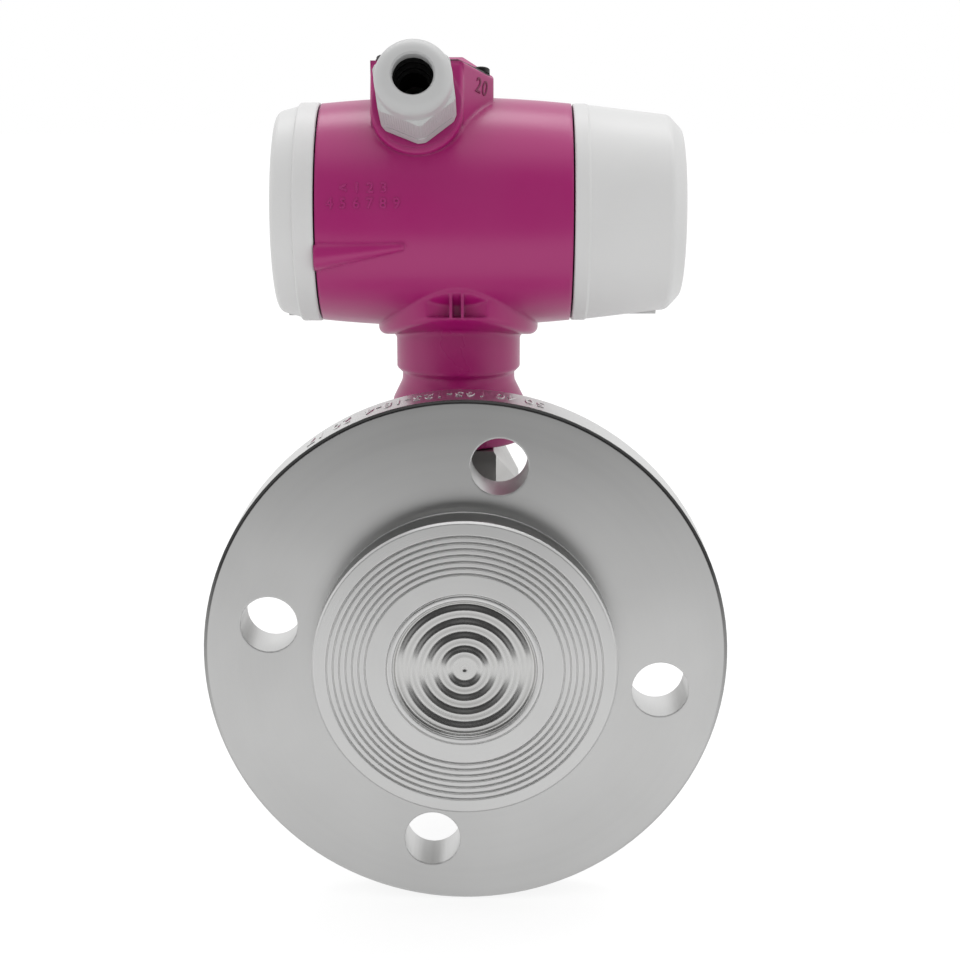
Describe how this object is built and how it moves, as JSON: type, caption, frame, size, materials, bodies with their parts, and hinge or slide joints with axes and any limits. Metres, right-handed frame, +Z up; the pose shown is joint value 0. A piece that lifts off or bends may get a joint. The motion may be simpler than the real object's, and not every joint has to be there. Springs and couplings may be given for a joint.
{
  "type": "differential pressure transmitter",
  "caption": "Flange-mounted differential pressure transmitter with flush corrugated diaphragm seal, clamped measuring cell and round two-room housing with cable gland.",
  "frame": {"origin": "centre of the bolt circle on the process flange's front face", "axes": "-Y out of the flange towards the process, +Z up through the housing, +X to the right as seen from the process side"},
  "size_m": [0.165, 0.1125, 0.2722],
  "materials": {
    "flange_steel": "turned stainless steel",
    "seal_steel": "fine turned stainless steel",
    "foil_steel": "rolled foil",
    "cell_steel": "machined",
    "bolt_steel": "plain fastener",
    "gasket_white": "filled fluoropolymer",
    "housing_paint": "semi-gloss powder coat",
    "cover_paint": "semi-gloss powder coat",
    "gland_plastic": "moulded polyamide",
    "black_rubber": "matt",
    "plate_black": "satin black",
    "screw_black": "blackened",
    "screw_steel": "plain fastener",
    "block_plastic": "moulded",
    "terminal_metal": "nickel-plated",
    "module_plastic": "moulded",
    "board_green": "solder resist",
    "key_plastic": "moulded",
    "glass_seal": "potted"
  },
  "bodies": {
    "cell": {"process_flange": "flange_steel", "seal_disc": "seal_steel", "process_diaphragm": "foil_steel", "sensor_body": "cell_steel", "isolating_diaphragms": "foil_steel", "front_cell_gasket": "gasket_white", "rear_cell_gasket": "gasket_white", "low_pressure_flange": "cell_steel", "side_plug": "bolt_steel", "cell_bolts": "bolt_steel", "cell_washers": "bolt_steel", "sensor_header": "glass_seal", "neck_oring": "black_rubber"},
    "head": {"housing": "housing_paint", "neck_lock_screw": "screw_black", "cover_lock_screws": "screw_steel", "gland_body": "gland_plastic", "gland_oring": "black_rubber", "gland_seal": "black_rubber", "nameplate": "plate_black", "nameplate_screws": "screw_black", "terminal_block": "block_plastic", "terminal_plates": "terminal_metal", "terminal_screws": "terminal_metal", "terminal_block_screws": "screw_steel", "feedthrough": "glass_seal", "electronics_module": "module_plastic", "electronics_board": "board_green", "board_screws": "screw_steel", "key_frame": "block_plastic", "earth_clamp": "screw_steel", "earth_screw": "screw_steel", "inner_earth_screw": "terminal_metal"},
    "terminal_ring": {"terminal_cover_oring": "black_rubber"},
    "terminal_lid": {"terminal_cover": "cover_paint"},
    "electronics_ring": {"electronics_cover_oring": "black_rubber"},
    "electronics_lid": {"electronics_cover": "cover_paint"},
    "slip_ring": {"gland_slip_ring": "gasket_white"},
    "nut": {"gland_nut": "gland_plastic"},
    "plug_ring": {"blind_plug_oring": "black_rubber"},
    "plug": {"blind_plug": "bolt_steel"},
    "zero_button": {"zero_key": "key_plastic"},
    "span_button": {"span_key": "key_plastic"}
  },
  "joints": [
    {"name": "housing_turn", "type": "hinge", "parent": "cell", "child": "head", "pos_m": [-0.0028, 0.05, 0.07], "axis": [0, 0, 1], "range_deg": [-180, 180]},
    {"name": "terminal_cover_travel", "type": "slide", "parent": "head", "child": "terminal_ring", "axis": [-1, 0, 0], "range_m": [0, 0.00905]},
    {"name": "terminal_cover_turn", "type": "hinge", "parent": "terminal_ring", "child": "terminal_lid", "pos_m": [-0.0467, 0.05, 0.1343], "axis": [-1, 0, 0], "range_deg": [0, 2160]},
    {"name": "electronics_cover_travel", "type": "slide", "parent": "head", "child": "electronics_ring", "axis": [1, 0, 0], "range_m": [0, 0.00905]},
    {"name": "electronics_cover_turn", "type": "hinge", "parent": "electronics_ring", "child": "electronics_lid", "pos_m": [0.0337, 0.05, 0.1343], "axis": [1, 0, 0], "range_deg": [0, 2160]},
    {"name": "gland_nut_travel", "type": "slide", "parent": "head", "child": "slip_ring", "axis": [0, -0.9397, 0.342], "range_m": [0, 0.012]},
    {"name": "gland_nut_turn", "type": "hinge", "parent": "slip_ring", "child": "nut", "pos_m": [-0.0149, 0.023, 0.1699], "axis": [0, -0.9397, 0.342], "range_deg": [0, 2890]},
    {"name": "blind_plug_travel", "type": "slide", "parent": "head", "child": "plug_ring", "axis": [0, 0.9397, 0.342], "range_m": [0, 0.0105]},
    {"name": "blind_plug_turn", "type": "hinge", "parent": "plug_ring", "child": "plug", "pos_m": [-0.0149, 0.077, 0.1699], "axis": [0, 0.9397, 0.342], "range_deg": [0, 2530]},
    {"name": "zero_key_press", "type": "slide", "parent": "head", "child": "zero_button", "axis": [-1, 0, 0], "range_m": [0, 0.0008], "stiffness_N_per_m": 600},
    {"name": "span_key_press", "type": "slide", "parent": "head", "child": "span_button", "axis": [-1, 0, 0], "range_m": [0, 0.0008], "stiffness_N_per_m": 600}
  ],
  "couplings": [
    {"joint": "terminal_cover_travel", "follows": "terminal_cover_turn", "m_per_rad": 0.00023873},
    {"joint": "electronics_cover_travel", "follows": "electronics_cover_turn", "m_per_rad": 0.00023873},
    {"joint": "gland_nut_turn", "follows": "gland_nut_travel", "rad_per_m": 4188.8},
    {"joint": "blind_plug_turn", "follows": "blind_plug_travel", "rad_per_m": 4188.8}
  ]
}
